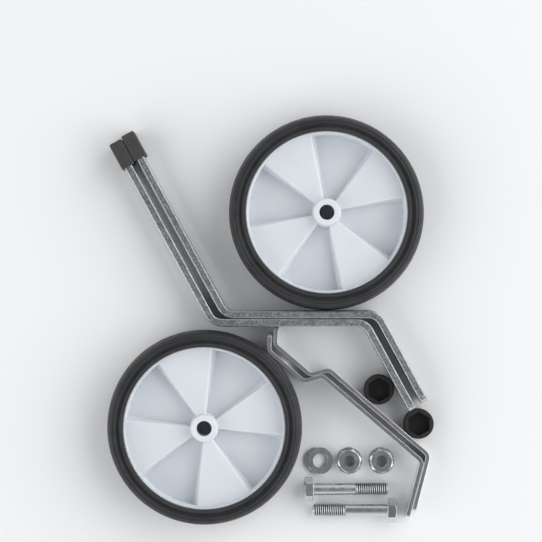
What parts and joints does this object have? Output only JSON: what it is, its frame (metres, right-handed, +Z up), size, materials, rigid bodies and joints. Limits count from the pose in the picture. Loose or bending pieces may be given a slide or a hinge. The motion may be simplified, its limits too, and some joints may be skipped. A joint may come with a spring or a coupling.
{
  "type": "bicycle training wheel set",
  "caption": "Bicycle training wheel set laid out flat: plastic wheels with solid tyres, Z-bent slotted arms with end caps, joggled braces, nut caps and axle hardware.",
  "frame": {"origin": "on the upper wheel's axis, on the surface that the set lies on", "axes": "+Z up, along the wheels' axes; +Y from the lower wheel towards the upper wheel's side of the set; +X to the right as seen from above"},
  "size_m": [0.1943, 0.2433, 0.028],
  "materials": {
    "white_plastic": "satin moulded",
    "black_rubber": "matt moulded",
    "zinc_steel": "grainy zinc plate",
    "black_plastic": "soft matt",
    "bright_steel": "bright zinc plate",
    "bolt_steel": "zinc plate"
  },
  "bodies": {
    "root": {"upper_wheel": "white_plastic", "lower_wheel": "white_plastic", "upper_tyre": "black_rubber", "lower_tyre": "black_rubber", "outer_arm": "zinc_steel", "inner_arm": "zinc_steel", "outer_arm_cap": "black_plastic", "inner_arm_cap": "black_plastic", "outer_brace": "bright_steel", "inner_brace": "bright_steel", "left_nut_cap": "black_plastic", "right_nut_cap": "black_plastic", "upper_axle_bolt": "bolt_steel", "lower_axle_bolt": "bolt_steel", "left_nut": "bolt_steel", "right_nut": "bolt_steel", "left_nut_washer": "bolt_steel", "right_nut_washer": "bolt_steel", "bottom_spare_washer": "bolt_steel", "top_spare_washer": "bolt_steel"}
  },
  "joints": []
}
